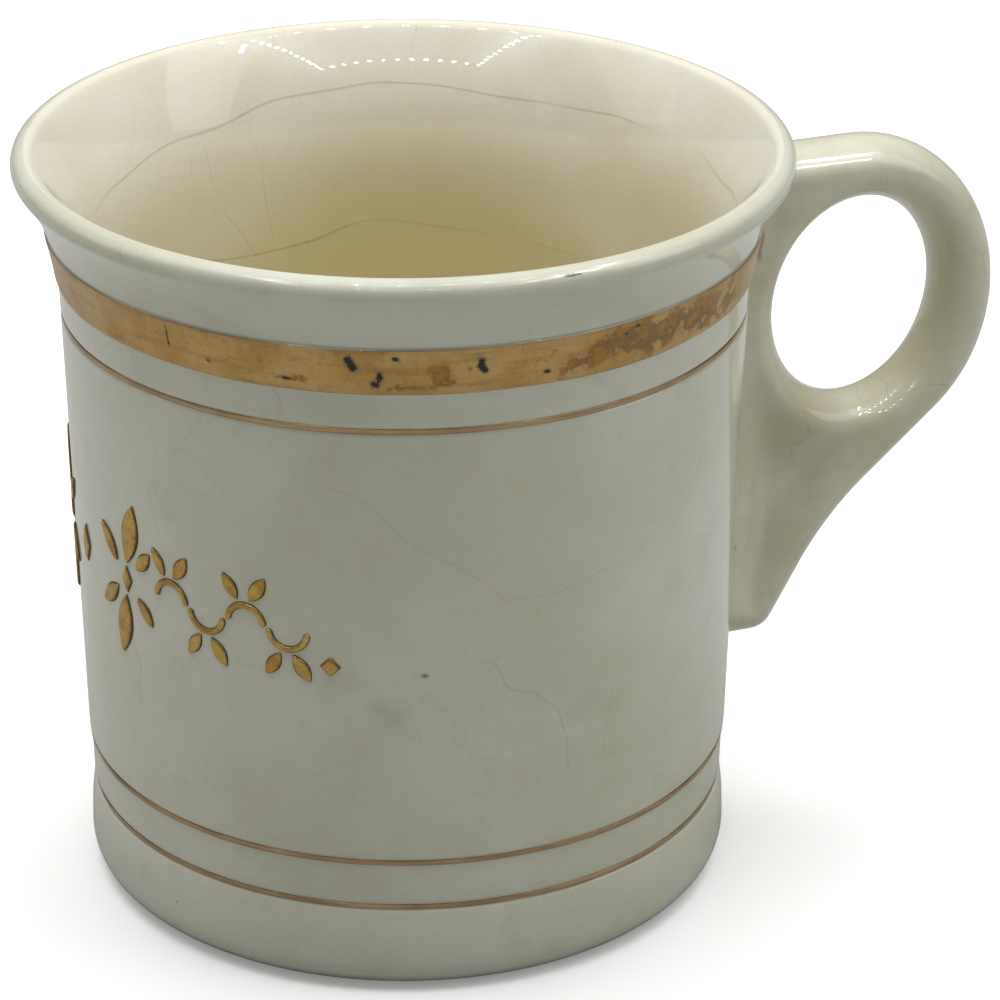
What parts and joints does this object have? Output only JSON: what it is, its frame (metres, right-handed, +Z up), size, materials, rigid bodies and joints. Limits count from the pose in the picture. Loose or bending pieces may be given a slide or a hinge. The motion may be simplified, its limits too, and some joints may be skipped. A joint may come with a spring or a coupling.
{
  "type": "shaving mug",
  "caption": "White-ware shaving mug with a flared rim, a closed finger-ring handle with a spine down to a rounded tail, gilt bands and a raised gilt frieze.",
  "frame": {"origin": "centre of the foot, on the plane that the mug stands on", "axes": "+Z up along the mug's axis, +X towards the handle, the gilt frieze faces -X"},
  "size_m": [0.1238, 0.092, 0.0925],
  "materials": {
    "glazed_ware": "clear glaze over cream white ware, finely crazed",
    "handle_glaze": "clear glaze over cream white ware",
    "slip": "fired slip, stained in the seam",
    "band_gilt": "burnished gilt, mottled and pitted by wear",
    "line_gilt": "thin worn gilt",
    "raised_gilt": "raised bright gilt with dark edges"
  },
  "bodies": {
    "root": {"mug_body": "glazed_ware", "handle": "handle_glaze", "handle_slip_joint": "slip", "broad_gilt_band": "band_gilt", "upper_gilt_line": "line_gilt", "foot_gilt_line_lower": "line_gilt", "foot_gilt_line_upper": "line_gilt", "gilt_stems": "raised_gilt", "gilt_leaves": "raised_gilt", "gilt_lozenges": "raised_gilt"}
  },
  "joints": []
}
